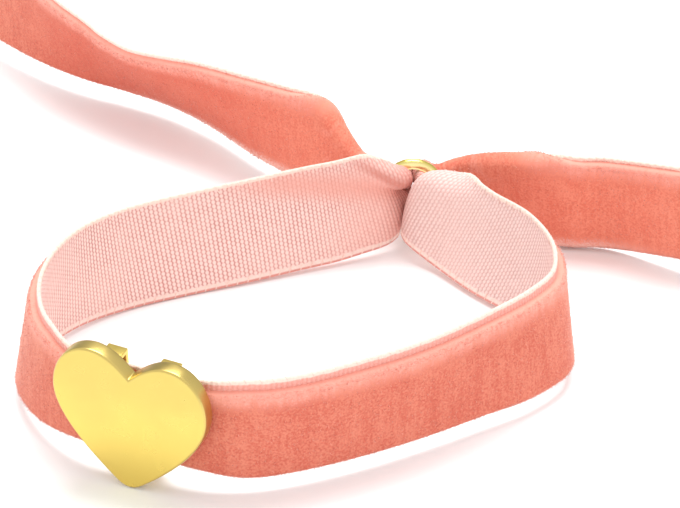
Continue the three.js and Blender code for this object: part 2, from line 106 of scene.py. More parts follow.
# the ribbon's foot from the left tail's end to the right tail's: x, y, lift over the floor,
# and how far the upper edge stands out to the velvet side and runs ahead
ROUTE = [
    (-37.6, 45.4, 2.0, -1.2, 0.2),
    (-34.3, 41.1, 1.9, -0.3, 0.2),
    (-29.6, 36.2, 1.8, 1.3, 0.1),
    (-25.0, 32.6, 1.8, 3.5, 0),
    (-20.6, 30.2, 1.8, 5.4, 0),
    (-16.3, 27.3, 1.8, 6.1, 0),
    (-11.8, 22.7, 1.6, 5.0, 0),
    (-7.6, 16.8, 1.3, 2.7, 0),
    (-4.4, 13.0, 1.2, 1.2, 0.3),
    (-1.4, 9.8, 1.2, 0.2, 0.5),
    (0.9, 7.9, 1.3, 0, 0.3),
    (2.9, 6.5, 1.7, 0, 0),
    (4.8, 5.2, 2.4, 1.0, 0),
    (5.5, 4.2, 3.3, 2.4, 0),
    (5.63, 3.55, 3.9, 1.8, 0),
    (5.68, 3.0, 3.95, 1.8, 0),
    (5.63, 2.45, 3.85, 1.8, 0),
    (5.4, 1.9, 2.4, 1.4, 0),
    (5.1, 1.15, 1.15, 0.9, 0),
    (4.1, 0.25, 0.8, 0.3, 0),
    (2.2, -1.0, 0.7, 0.4, -0.1),
    (-0.3, -2.2, 0.45, 0.6, -0.3),
    (-3.0, -3.3, 0.35, 0.8, -0.5),
    (-8.3, -5.5, 0.15, 0.9, -0.5),
    (-13.7, -7.6, 0, 0.7, -0.3),
    (-18.9, -10.3, 0.1, 0.3, 0.1),
    (-23.1, -14.0, 0.4, -0.5, 0),
    (-26.0, -19.2, 0.7, -1.4, 0),
    (-26.8, -24.9, 0.9, -1.7, 0.2),
    (-24.7, -30.6, 1.2, -0.6, 0.2),
    (-20.8, -35.0, 1.9, 0.8, 0),
    (-16.2, -37.05, 1.95, 0.8, 0),
    (-11.6, -39.0, 1.7, 0.9, 0),
    (-7.8, -39.5, 1.2, 1.2, 0),
    (-3.8, -38.6, 1.2, 1.4, 0),
    (1.5, -36.3, 1.2, 1.2, -0.2),
    (6.5, -33.5, 1.2, 1.0, -0.3),
    (11.4, -30.3, 1.2, 0.3, -0.3),
    (16.1, -27.0, 1.1, -0.9, -0.4),
    (19.2, -22.6, 0.9, -1.4, 0),
    (18.6, -16.9, 0.6, -0.3, 0.5),
    (15.5, -12.1, 0.4, 1.4, 0.4),
    (11.7, -7.6, 0.35, 1.7, 0),
    (8.6, -3.4, 0.6, 1.5, 0),
    (7.0, -1.8, 1.15, 1.5, 0),
    (5.9, -0.5, 1.6, 1.6, 0),
    (5.65, 0.3, 2.0, 1.8, 0),
    (6.0, 1.1, 2.5, 1.9, 0),
    (6.8, 1.8, 3.0, 1.8, 0),
    (7.4, 2.45, 3.85, 1.8, 0),
    (7.54, 3.0, 3.95, 1.8, 0),
    (7.64, 3.55, 3.9, 1.8, 0),
    (7.7, 4.2, 3.3, 2.4, 0),
    (8.5, 5.2, 2.4, 1.4, 0),
    (10.3, 5.8, 1.5, 0.6, 0),
    (11.9, 5.7, 1.0, 1.2, 0),
    (14.1, 4.7, 0.5, 1.6, 0),
    (17.0, 2.9, 0.2, 1.6, 0),
    (20.3, 1.4, 0, 1.35, 0),
    (23.7, 1.0, 0.1, 1.3, 0),
    (25.6, 0.2, 0.3, 1.4, 0),
    (27.7, -1.2, 0.7, 1.4, 0),
    (30.4, -3.1, 1.2, 1.3, 0),
    (33.2, -4.7, 1.6, 1.1, 0),
]
LEFT_RING_ROW, RIGHT_RING_ROW, HEART_ROW = 15, 50, 31

# folds near the ring: run from it; degrees that the lower part, the crease and the upper part
# turn; width of the lower part; share of the width left when crushed; height of the pile
LEFT_GATHER = [
    (-14.5, 0, 0, 0, 9.4, 1, 0.75),
    (-12.5, 0, 60, 0, 9.1, 1, 0.75),
    (-11.2, 5, 130, 0, 8.4, 1, 0.75),
    (-10.2, 5, 155, 0, 7.6, 1, 0.75),
    (-9.2, 5, 160, 0, 6.5, 1, 0.72),
    (-8.2, 10, 165, 0, 5.5, 1, 0.7),
    (-7.0, 20, 165, 0, 4.4, 1, 0.6),
    (-4.8, 90, 180, 0, 4.8, 0.85, 0.45),
    (-2.8, 190, 200, 50, 6.4, 0.66, 0.25),
    (-1.4, 205, 220, 90, 6.2, 0.55, 0.15),
    (-0.6, 210, 235, 195, 5.3, 0.47, 0.1),
    (0.7, 210, 235, 195, 5.3, 0.47, 0.1),
    (1.5, 110, 190, 250, 5.0, 0.66, 0.15),
    (2.6, 60, 150, 255, 4.9, 0.85, 0.35),
    (4.8, 30, 115, 200, 6.2, 0.98, 0.6),
    (7.5, 0, 25, 50, 6.8, 1, 0.75),
    (9.5, 0, 0, 0, 6.8, 1, 0.75),
]
RIGHT_GATHER = [
    (-15.5, 0, 0, 0, 7.6, 1, 0.75),
    (-13.0, 0, 0, 12, 7.5, 1, 0.75),
    (-10.4, 0, 0, 65, 7.1, 1, 0.75),
    (-8.6, 0, 0, 115, 6.8, 1, 0.75),
    (-7.2, 5, 0, 135, 6.9, 0.97, 0.7),
    (-6.0, 10, 0, 160, 6.7, 0.93, 0.6),
    (-4.8, 10, 0, 190, 6.2, 0.88, 0.5),
    (-3.4, 20, 0, 215, 5.2, 0.78, 0.35),
    (-2.2, 50, 30, 220, 4.2, 0.68, 0.22),
    (-1.3, 140, 140, 210, 4.4, 0.56, 0.15),
    (-0.6, 205, 235, 195, 5.2, 0.46, 0.1),
    (0.6, 205, 235, 195, 5.2, 0.46, 0.1),
    (1.4, 200, 215, 80, 5.8, 0.54, 0.15),
    (3.0, 170, 200, 50, 5.6, 0.7, 0.3),
    (4.8, 70, 175, 0, 4.9, 0.9, 0.55),
    (7.0, 15, 155, 0, 5.8, 1, 0.7),
    (8.5, 5, 145, 0, 6.7, 1, 0.75),
    (10.5, 5, 140, 0, 7.6, 1, 0.75),
    (13.0, 0, 118, 0, 8.4, 1, 0.75),
    (15.2, 0, 75, 0, 8.9, 1, 0.75),
    (17.5, 0, 0, 0, 9.3, 1, 0.75),
]
# the same where the heart's loops press the ribbon: run from the heart's middle, and so on
HEART_PRESS = [
    (-9.0, 0, 0, 0, 6, 1, 0.75),
    (-4.5, 0, 0, 0, 6, 0.88, 0.6),
    (4.5, 0, 0, 0, 6, 0.88, 0.6),
    (9.0, 0, 0, 0, 6, 1, 0.75),
]

# ribs across the ribbon lean a little: run, lean (shift along per millimetre across)
RIB_LEAN = [
    (0, 0), (56, 0), (66, -0.3), (74, -0.15), (90, -0.15), (98, -0.05), (106, 0),
    (164, 0), (176, 0.4), (195, 0.4), (204, 0),
]


# ---------- the ribbon's surface ----------

def through(rows, places, at):
    """The rows as a smooth curve with the slope at each row set by its neighbours."""
    rows, places = np.array(rows, float), np.array(places, float)
    slope = np.zeros_like(rows)
    slope[1:-1] = (rows[2:] - rows[:-2]) / (places[2:] - places[:-2])[:, None]
    slope[0] = 1.5 * (rows[1] - rows[0]) / (places[1] - places[0]) - 0.5 * slope[1]
    slope[-1] = 1.5 * (rows[-1] - rows[-2]) / (places[-1] - places[-2]) - 0.5 * slope[-2]
    k = np.clip(np.searchsorted(places, at, side="right") - 1, 0, len(places) - 2)
    span = (places[k + 1] - places[k])[:, None]
    t = np.clip((at - places[k])[:, None] / span, 0, 1)
    a, b = rows[k], rows[k + 1]
    return (
        (2 * t**3 - 3 * t**2 + 1) * a
        + (t**3 - 2 * t**2 + t) * span * slope[k]
        + (3 * t**2 - 2 * t**3) * b
        + (t**3 - t**2) * span * slope[k + 1]
    )


def smooth(values, step, reach):
    """Values along the ribbon, softened over the reach, ends kept."""
    n = max(1, int(round(2.5 * reach / step)))
    weight = np.exp(-0.5 * (np.arange(-n, n + 1) * step / reach) ** 2)
    weight /= weight.sum()
    first = 2 * values[0] - values[1:n + 1][::-1]
    last = 2 * values[-1] - values[-n - 1:-1][::-1]
    long = np.concatenate([first, values, last])
    return np.stack([np.convolve(long[:, c], weight, "valid") for c in range(values.shape[1])], 1)


def folds_along(run, places):
    """The values of the fold tables at each place along the ribbon."""
    left, right, heart = (places[k] for k in (LEFT_RING_ROW, RIGHT_RING_ROW, HEART_ROW))
    folds = np.zeros((len(run), 6))
    for k, s in enumerate(run):
        if abs(s - left) < GATHER_REACH:
            rows, at = LEFT_GATHER, s - left
        elif abs(s - right) < GATHER_REACH:
            rows, at = RIGHT_GATHER, s - right
        else:
            rows, at = HEART_PRESS, s - heart
        rows = np.array(rows, float)
        folds[k] = [np.interp(at, rows[:, 0], rows[:, c]) for c in range(1, 7)]
    return folds


def ways_up_and_out(route):
    """At each place, the way up the unfolded ribbon and the way out of its velvet face."""
    flat = np.zeros(len(route))
    travel = np.gradient(route[:, :2], axis=0)
    travel = np.c_[travel / np.linalg.norm(travel, axis=1, keepdims=True), flat]
    side = np.c_[travel[:, 1], -travel[:, 0], flat]
    up = side * route[:, 3:4] + travel * route[:, 4:5]
    up[:, 2] = np.sqrt(RIBBON_WIDTH**2 - route[:, 3] ** 2 - route[:, 4] ** 2)
    up /= np.linalg.norm(up, axis=1, keepdims=True)
    out = np.cross(travel, up)
    out /= np.linalg.norm(out, axis=1, keepdims=True)
    return up, out


def folded_sections(folds, across):
    """Height, depth and angle of each folded section at the places across it."""
    fine = np.linspace(0, RIBBON_WIDTH, 241)
    w = fine[None, :]
    low, crease, top, fold, squeeze = (folds[:, c:c + 1] for c in range(5))
    lower = low / 2 - low * np.clip(w / fold, 0, 1)
    upper = -top * np.clip((w - fold) / np.maximum(RIBBON_WIDTH - fold, 0.3), 0, 1)
    bend = crease / (1 + np.exp(-(w - fold) / BEND_SOFT * 2))
    angle = np.radians(lower + upper + bend)
    dw = fine[1] - fine[0]
    mid = (angle[:, 1:] + angle[:, :-1]) / 2
    foot = np.zeros((len(folds), 1))
    height = np.concatenate([foot, np.cumsum(np.cos(mid) * dw * squeeze, 1)], 1)
    depth = np.concatenate([foot, -np.cumsum(np.sin(mid) * dw * squeeze, 1)], 1)

    place = np.interp(across, fine, np.arange(len(fine)))
    column = np.floor(place).astype(int).clip(0, len(fine) - 2)
    part = place - column
    return (t[:, column] * (1 - part) + t[:, column + 1] * part for t in (height, depth, angle))


def ribbon_surface(across, along_step):
    """The ribbon's mid-surface: points, facings, run along it, and the pile's height there."""
    feet = np.array(ROUTE)[:, :3]
    places = np.concatenate([[0], np.cumsum(np.linalg.norm(np.diff(feet, axis=0), axis=1))])
    run = np.linspace(0, places[-1], int(round(places[-1] / along_step)) + 1)
    step = run[1] - run[0]
    route = smooth(through(ROUTE, places, run), step, ROUTE_SOFT)
    folds = smooth(folds_along(run, places), step, FOLD_SOFT)
    up, out = ways_up_and_out(route)
    height, depth, angle = folded_sections(folds, across)
    points = route[:, None, :3] + up[:, None] * height[..., None] + out[:, None] * depth[..., None]
    facing = out[:, None] * np.cos(angle)[..., None] + up[:, None] * np.sin(angle)[..., None]
    return points, facing, run, folds[:, 5:6]


def make_mesh(name, points, faces, marks=None):
    mesh = bpy.data.meshes.new(name)
    mesh.from_pydata(((points + SHIFT) * MM).tolist(), [], faces)
    mesh.update()
    for label, values in (marks or {}).items():
        layer = mesh.attributes.new(label, "FLOAT", "POINT")
        layer.data.foreach_set("value", np.ascontiguousarray(values, np.float32).ravel())
    mesh.shade_smooth()
    obj = bpy.data.objects.new(name, mesh)
    bpy.context.scene.collection.objects.link(obj)
    return obj


def shell(name, under, over, marks):
    """A closed strip between two grids of points, one row for each section.

    A mark has a value for each point of one grid, or of both, one after the other.
    """
    loops = np.concatenate([under, over[:, ::-1]], 1)
    marks = {k: v if v.shape[1] == loops.shape[1] else np.concatenate([v, v[:, ::-1]], 1)
             for k, v in marks.items()}
    count, round_, _ = loops.shape
    k = np.arange(count - 1)[:, None] * round_
    j = np.arange(round_)[None, :]
    n = (j + 1) % round_
    faces = np.stack([k + j, k + n, k + round_ + n, k + round_ + j], -1).reshape(-1, 4).tolist()
    half = round_ // 2
    for base, flip in ((0, False), ((count - 1) * round_, True)):
        for a in range(half - 1):
            quad = [base + a, base + round_ - 1 - a, base + round_ - 2 - a, base + a + 1]
            faces.append(quad[::-1] if flip else quad)
    return make_mesh(name, loops.reshape(-1, 3), faces, marks)


def along_ribs(grids, run, across):
    """The grids read again so that each section follows one rib across the ribbon."""
    lean = np.interp(run, *np.array(RIB_LEAN, float).T)
    lean = smooth(lean[:, None], run[1] - run[0], 2.0)
    rib = run[:, None] + lean * across[None]
    rib[-1] = run[-1]
    columns = range(len(across))
    place = np.stack([np.interp(run, rib[:, j], run) for j in columns], 1)
    out = []
    for grid in grids:
        flat = grid.reshape(len(run), len(across), -1)
        depth = range(flat.shape[2])
        read = [[np.interp(place[:, j], run, flat[:, j, c]) for c in depth] for j in columns]
        out.append(np.array(read).transpose(2, 0, 1).reshape(grid.shape))
    return out, place


def ribbon_base():
    """The woven base with its ribs, and its length."""
    edge = np.array([0.0, 0.05, 0.14, 0.3])
    middle = np.linspace(0.55, RIBBON_WIDTH - 0.55, 20)
    across = np.concatenate([edge, middle, (RIBBON_WIDTH - edge)[::-1]])
    points, facing, run, _pile = ribbon_surface(across, WOVEN_STEP)
    (points, facing), place = along_ribs((points, facing), run, across)
    from_edge = np.minimum(across, RIBBON_WIDTH - across)
    rounding = np.sqrt(1 - (1 - np.clip(from_edge / SELVEDGE_ROUND, 0, 1)) ** 2)
    bead = 1 + BEAD_RISE * np.exp(-(((from_edge - BEAD_PLACE) / BEAD_PLACE) ** 2))
    mid = (WOVEN_FRONT - WOVEN_BACK) / 2
    thick = np.maximum((WOVEN_FRONT + WOVEN_BACK) / 2 * rounding * bead, 0.015)
    ribs = RIB_RISE * np.cos(2 * math.pi * run / RIB_PITCH)[:, None] * np.clip(from_edge / 0.5, 0, 1)
    back = points + facing * (mid - thick - ribs)[..., None]
    front = points + facing * (mid + thick + RIB_FRONT * ribs)[..., None]
    marks = {
        "run": place,
        "rib": np.repeat(run[:, None], len(across), 1),
        "width": np.repeat(across[None], len(run), 0),
        "front": np.repeat([0.0, 1.0], len(across))[None] + np.zeros((len(run), 1)),
    }
    return shell("ribbon_woven", back, front, marks), run[-1]


def pile_grid(share):
    """The pile's sections; share is the place across it, 0 at its foot and 1 at its top.

    limit is how far up the ribbon the pile goes, flank how full it is near its edges, and
    height how far its surface lies from the points on the ribbon's mid-surface.
    """
    across = np.linspace(0, RIBBON_WIDTH, 81)
    points, facing, run, pile = ribbon_surface(across, PILE_STEP)
    past_left, before_right = run - RING_RUNS[0] - 1, RING_RUNS[1] - 1 - run
    loop = np.clip(past_left / TAIL_BLEND, 0, 1) * np.clip(before_right / TAIL_BLEND, 0, 1)
    limit = (TAIL_PILE_TOP + (PILE_TOP - TAIL_PILE_TOP) * loop)[:, None]
    width = PILE_FOOT + (limit - PILE_FOOT) * share[None]
    place = width / RIBBON_WIDTH * (len(across) - 1)
    column = np.floor(place).astype(int).clip(0, len(across) - 2)
    part = (place - column)[..., None]
    row = np.arange(len(run))[:, None]
    points = points[row, column] * (1 - part) + points[row, column + 1] * part
    facing = facing[row, column] * (1 - part) + facing[row, column + 1] * part
    from_edge = np.minimum(width - PILE_FOOT, limit - width)
    flank = np.maximum(np.sqrt(1 - (1 - np.clip(from_edge / PILE_ROUND, 0, 1)) ** 2), 0.02)
    height = WOVEN_FRONT + (pile - WOVEN_FRONT) * flank
    return SimpleNamespace(
        points=points, facing=facing, run=run, width=width, limit=limit, flank=flank, height=height)


def ribbon_pile():
    """The velvet pile over the woven base, uneven by a little."""
    share = np.concatenate([[0, 0.007, 0.02], np.linspace(0.05, 0.95, 34), [0.975, 0.992, 1.0]])
    grid = pile_grid(share)
    rng = np.random.default_rng(11)
    fine = rng.normal(0, 1, grid.height.shape)
    broad = smooth(rng.normal(0, 1, grid.height.shape), PILE_STEP, 1.2)
    height = grid.height + (PILE_FINE * fine + PILE_BROAD * broad) * grid.flank
    over = grid.points + grid.facing * height[..., None]
    under = grid.points + grid.facing * (WOVEN_FRONT - 0.03)
    marks = {
        "run": np.repeat(grid.run[:, None], len(share), 1),
        "width": grid.width,
        "from_top": grid.limit - grid.width,
    }
    return shell("ribbon_pile", under, over, marks)


def prisms(name, paths, radii, sides, marks=None):
    """Thin closed tubes: paths[n, k] is the k-th point of the n-th tube."""
    count, steps, _ = paths.shape
    along = np.gradient(paths, axis=1)
    along /= np.linalg.norm(along, axis=2, keepdims=True)
    helper = np.where(np.abs(along[..., 2:]) < 0.8, [0.0, 0.0, 1.0], [1.0, 0.0, 0.0])
    a = np.cross(along, helper)
    a /= np.linalg.norm(a, axis=2, keepdims=True)
    b = np.cross(along, a)
    turn = np.arange(sides) * 2 * math.pi / sides
    ring = a[:, :, None] * np.cos(turn)[:, None] + b[:, :, None] * np.sin(turn)[:, None]
    points = paths[:, :, None] + ring * np.asarray(radii, float).reshape(1, -1, 1, 1)
    base = np.arange(count)[:, None, None] * steps * sides
    k = np.arange(steps - 1)[None, :, None] * sides
    j = np.arange(sides)[None, None]
    n = (j + 1) % sides
    faces = np.stack([base + k + j, base + k + n, base + k + sides + n, base + k + sides + j], -1)
    faces = faces.reshape(-1, 4).tolist()
    first = base[:, 0] + np.arange(sides)[None]
    last = first + (steps - 1) * sides
    faces += first[:, ::-1].tolist() + last.tolist()
    spread = {m: np.repeat(v, steps * sides) for m, v in (marks or {}).items()}
    return make_mesh(name, points.reshape(-1, 3), faces, spread)


def pile_fuzz(name, seed, edge):
    """Loose fibres, over the pile or along its two edges."""
    grid = pile_grid(np.linspace(0, 1, 60))
    points = grid.points
    top = points + grid.facing * grid.height[..., None]
    rows, columns = grid.height.shape
    rng = np.random.default_rng(seed)
    row = rng.random(FIBRES) * (rows - 2)
    column = rng.random(FIBRES) * (columns - 2)
    tilt = np.zeros(FIBRES)
    if edge:
        near = rng.random(FIBRES) ** 1.5 * FIBRE_FRINGE
        lower = rng.random(FIBRES) < 0.55
        column = np.where(lower, near, columns - 2.01 - near)
        tilt = np.where(lower, -FIBRE_DROOP, FIBRE_DROOP)
    k, j = row.astype(int), column.astype(int)
    ahead, aside = (row - k)[:, None], (column - j)[:, None]
    start = top[k, j] * (1 - ahead) * (1 - aside) + top[k + 1, j] * ahead * (1 - aside)
    start += top[k, j + 1] * (1 - ahead) * aside + top[k + 1, j + 1] * ahead * aside
    upward = points[k, np.minimum(j + 1, columns - 1)] - points[k, np.maximum(j - 1, 0)]
    upward /= np.linalg.norm(upward, axis=1, keepdims=True)
    lie = grid.facing[k, j] + upward * tilt[:, None] + rng.normal(0, FIBRE_STRAY, (FIBRES, 3))
    lie /= np.linalg.norm(lie, axis=1, keepdims=True)
    bend = rng.normal(0, FIBRE_CURL, (FIBRES, 3))
    long = rng.uniform(*FIBRE_LONG, FIBRES)[:, None]
    paths = np.stack(
        [start - lie * FIBRE_ROOT, start + lie * long * 0.55, start + (lie + bend) * long], 1)
    return prisms(name, paths, FIBRE_RADII, 3, {"tone": rng.random(FIBRES)})


def selvedge_stitches():
    """Small slanting loops of thread round both edges, from the back to the front."""
    # for each point of a stitch: place in from the edge, out of the face, and along the ribbon
    across = np.array([0.75, 0.45, 0.12, 0.0, 0.12, 0.4])
    offset = (-0.2, -0.25, -0.24, -0.07, 0.1, 0.06)
    slant = (0, 0.12, 0.24, 0.32, 0.4, 0.52)
    rng = np.random.default_rng(3)
    paths = []
    for columns in (across, RIBBON_WIDTH - across):
        points, facing, run, _pile = ribbon_surface(columns, STITCH_STEP)
        stations = np.arange(STITCH_ENDS[0], run[-1] - STITCH_ENDS[1], STITCH_PITCH)
        stations = stations + rng.normal(0, STITCH_STRAY, len(stations))
        path = []
        for n in range(len(columns)):
            k = np.round((stations + slant[n]) / run[1]).astype(int)
            path.append(points[k, n] + facing[k, n] * offset[n])
        paths.append(np.stack(path, 1))
    paths = np.concatenate(paths)
    return prisms("selvedge_stitches", paths, STITCH_RADII, 5, {"tone": rng.random(len(paths))})


# ---------- the gathering ring ----------

def gathering_ring():
    """A flat band with rounded corners; its hole runs along y."""
    half = RING_DEPTH / 2
    # its section: corner, rounding across and along, and where the rounding starts
    corners = [
        (RING_OUTER, half, 0.25, 0.3, 0),
        (RING_INNER, half, 0.15, 0.15, 90),
        (RING_INNER, -half, 0.05, 0.1, 180),
        (RING_OUTER, -half, 0.75, 0.6, 270),
    ]
    section = []
    for radius, along, wide, deep, start in corners:
        inward = 1 if radius == RING_INNER else -1
        middle = (radius + inward * wide, along - math.copysign(deep, along))
        for turn in np.radians(np.linspace(start, start + 90, 8)):
            section.append((middle[0] + wide * math.cos(turn), middle[1] + deep * math.sin(turn)))
    section = np.array(section)
    around = np.linspace(0, 2 * math.pi, 120, endpoint=False)
    x = RING_CENTRE[0] + section[None, :, 0] * np.sin(around)[:, None]
    z = RING_CENTRE[2] + section[None, :, 0] * np.cos(around)[:, None]
    y = RING_CENTRE[1] + np.repeat(section[None, :, 1], len(around), 0)
    points = np.stack([x, y, z], -1).reshape(-1, 3)
    turns, count = len(around), len(section)
    k, j = np.meshgrid(np.arange(turns) * count, np.arange(count), indexing="ij")
    k1, j1 = (k + count) % (turns * count), (j + 1) % count
    faces = np.stack([k + j, k1 + j, k1 + j1, k + j1], -1).reshape(-1, 4).tolist()
    # painted shade on the outer wall starts 0.3 under it and is full after 0.25
    rim_shade = np.clip((section[:, 0] - RING_OUTER + 0.3) / 0.25, 0, 1)
    return make_mesh("gathering_ring", points, faces, {"rim_shade": np.repeat(rim_shade[None], turns, 0)})


# ---------- the heart slider ----------

def bezier(a, b, c, d, steps):
    """Points along a cubic curve from a to d, without d itself."""
    t = np.linspace(0, 1, steps, endpoint=False)[:, None]
    a, b, c, d = (np.array(v, float) for v in (a, b, c, d))
    return (1 - t) ** 3 * a + 3 * (1 - t) ** 2 * t * b + 3 * (1 - t) * t**2 * c + t**3 * d


def heart_outline():
    """The heart from the front, anticlockwise from the notch round by the left lobe."""
    half = HEART_WIDTH / 2
    right = np.concatenate([
        bezier((0, HEART_CLEFT), (0.9, HEART_CLEFT + 0.9), (2.0, HEART_HEIGHT), (3.4, HEART_HEIGHT), 22),
        bezier((3.4, HEART_HEIGHT), (5.4, HEART_HEIGHT), (half, 10.8), (half, 8.5), 26),
        bezier((half, 8.5), (half, 6.2), (4.7, 3.4), (1.1, 0.45), 30),
        bezier((1.1, 0.45), (0.73, 0.15), (0.37, 0.0), (0, 0.0), 6),
        [[0, 0.0]],
    ])
    left = right[1:-1][::-1] * [-1, 1]
    return np.concatenate([right, left])[::-1]


def heart_place(local):
    """From the heart's own frame (x across, y to the back, z up) to the bracelet's."""
    yaw, lean, roll = (math.radians(v) for v in (HEART_YAW, HEART_LEAN, HEART_ROLL))
    turn = Matrix.Rotation(yaw, 3, "Z") @ Matrix.Rotation(lean, 3, "X") @ Matrix.Rotation(roll, 3, "Y")
    return local @ np.array(turn).T + np.array(HEART_TIP)


def heart_plate():
    """The plate, in layers of its outline from the front rim to the back rim."""
    outline = heart_outline()
    ahead, behind = np.roll(outline, -1, 0) - outline, outline - np.roll(outline, 1, 0)
    normals = []
    for step in (ahead, behind):
        side = np.stack([step[:, 1], -step[:, 0]], 1)
        normals.append(side / np.linalg.norm(side, axis=1, keepdims=True))
    # the way in from each corner of the outline, kept short at the sharp notch and tip
    miter = normals[0] + normals[1]
    miter /= np.maximum((miter * normals[0]).sum(1, keepdims=True), 0.35)
    layers, wall = [], []
    for depth0, start in ((HEART_EDGE, -90), (HEART_PLATE - HEART_EDGE, 0)):
        for turn in np.radians(np.linspace(start, start + 90, 7)):
            inset = HEART_EDGE * (1 - math.cos(turn))
            y = depth0 + HEART_EDGE * math.sin(turn)
            edge = outline - miter * inset
            layers.append(np.stack([edge[:, 0], np.full(len(edge), y), edge[:, 1]], 1))
            wall.append(np.full(len(edge), abs(math.cos(turn))))
    points = np.concatenate(layers)
    n, m = len(outline), len(layers)
    faces = []
    for k in range(m - 1):
        for j in range(n):
            j1 = (j + 1) % n
            faces.append([k * n + j, (k + 1) * n + j, (k + 1) * n + j1, k * n + j1])
    faces.append(list(range(n)))
    faces.append(list(range((m - 1) * n, m * n))[::-1])
    # marks for painted shade: on the walls, and over the face with its height
    marks = {"rim_shade": np.concatenate(wall), "up": points[:, 2] / HEART_HEIGHT}
    obj = make_mesh("heart_plate", heart_place(points), faces, marks)
    for polygon in obj.data.polygons[-2:]:
        polygon.use_smooth = False
    return obj


def heart_loops():
    """The two loops behind the plate that hold the ribbon, let a little into the plate."""
    points, faces = [], []
    joint, back = HEART_PLATE - LOOP_LET_IN, HEART_PLATE + SLOT_DEPTH
    top, foot = SLOT_FOOT + SLOT_HEIGHT, SLOT_FOOT
    outer = back + LOOP_BACK
    profile = [
        (joint, top), (back, top), (back, foot), (joint, foot),
        (joint, foot - LOOP_WALL), (outer, foot - LOOP_WALL),
        (outer, top + LOOP_WALL), (joint, top + LOOP_WALL),
    ]
    for side in (-1, 1):
        middle = side * LOOP_SPACING / 2
        base = len(points)
        for x in (middle - LOOP_WIDTH / 2, middle + LOOP_WIDTH / 2):
            points += [(x * (1 - LOOP_TAPER * (top - z) / SLOT_HEIGHT), y, z) for y, z in profile]
        count = len(profile)
        for j in range(count):
            n = (j + 1) % count
            faces.append([base + j, base + n, base + count + n, base + count + j])
        faces.append([base + j for j in range(count)][::-1])
        faces.append([base + count + j for j in range(count)])
    obj = make_mesh("heart_loops", heart_place(np.array(points, float)), faces)
    edge = obj.modifiers.new("rounding", "BEVEL")
    edge.width, edge.segments, edge.limit_method = LOOP_ROUND * MM, 3, "ANGLE"
    return obj


woven, ribbon_length = ribbon_base()
pile = ribbon_pile()
fuzz = pile_fuzz("pile_fuzz", 5, False)
edge_fuzz = pile_fuzz("edge_fuzz", 6, True)
stitches = selvedge_stitches()
ring = gathering_ring()
plate = heart_plate()
loops = heart_loops()
for piece, slot in ((woven, "velvet"), (pile, "velvet"), (fuzz, "velvet"), (edge_fuzz, "velvet"),
                    (stitches, "velvet"),
                    (ring, "ring_gold"), (plate, "heart_gold"), (loops, "heart_gold")):
    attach(piece, "root")
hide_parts("velvet_ribbon")
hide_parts("gold_ring")
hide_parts("heart_slider")


# ---------- materials ----------

class Nodes:
    """A material's node tree with short ways to add the nodes used here."""

    def __init__(self, name, roughness, metallic=0.0):
        self.material = bpy.data.materials.new(name)
        self.material.use_nodes = True
        self.tree = self.material.node_tree
        self.shader = self.tree.nodes["Principled BSDF"]
        self.shader.inputs["Roughness"].default_value = roughness
        self.shader.inputs["Metallic"].default_value = metallic

    def put(self, socket, value):
        if isinstance(value, bpy.types.NodeSocket):
            self.tree.links.new(value, socket)
        else:
            socket.default_value = value

    def math(self, operation, a, b=0.0, c=0.0):
        node = self.tree.nodes.new("ShaderNodeMath")
        node.operation = operation
        for socket, value in zip(node.inputs, (a, b, c)):
            self.put(socket, value)
        return node.outputs[0]

    def attribute(self, name):
        node = self.tree.nodes.new("ShaderNodeAttribute")
        node.attribute_name = name
        return node.outputs["Fac"]

    def ramp(self, value, low, high, out_low=0.0, out_high=1.0):
        node = self.tree.nodes.new("ShaderNodeMapRange")
        node.interpolation_type = "SMOOTHSTEP"
        for socket, v in zip(node.inputs, (value, low, high, out_low, out_high)):
            self.put(socket, v)
        return node.outputs[0]

    def vector(self, x, y, z=0.0):
        node = self.tree.nodes.new("ShaderNodeCombineXYZ")
        for socket, value in zip(node.inputs, (x, y, z)):
            self.put(socket, value)
        return node.outputs[0]

    def place(self):
        return self.tree.nodes.new("ShaderNodeTexCoord").outputs["Object"]

    def noise(self, vector, scale, detail=2.0):
        node = self.tree.nodes.new("ShaderNodeTexNoise")
        self.put(node.inputs["Vector"], vector)
        node.inputs["Scale"].default_value = scale
        node.inputs["Detail"].default_value = detail
        return node.outputs["Fac"]

    def mix(self, factor, a, b):
        node = self.tree.nodes.new("ShaderNodeMix")
        node.data_type = "RGBA"
        for label, value in (("Factor_Float", factor), ("A_Color", a), ("B_Color", b)):
            socket = next(i for i in node.inputs if i.identifier == label)
            self.put(socket, (*value, 1) if isinstance(value, tuple) else value)
        return next(o for o in node.outputs if o.identifier == "Result_Color")

    def bump(self, height, strength, distance):
        node = self.tree.nodes.new("ShaderNodeBump")
        node.inputs["Strength"].default_value = strength
        node.inputs["Distance"].default_value = distance * MM
        self.put(node.inputs["Height"], height)
        self.put(self.shader.inputs["Normal"], node.outputs["Normal"])

    def color(self, value):
        tint = (*value, 1) if isinstance(value, tuple) else value
        self.put(self.shader.inputs["Base Color"], tint)


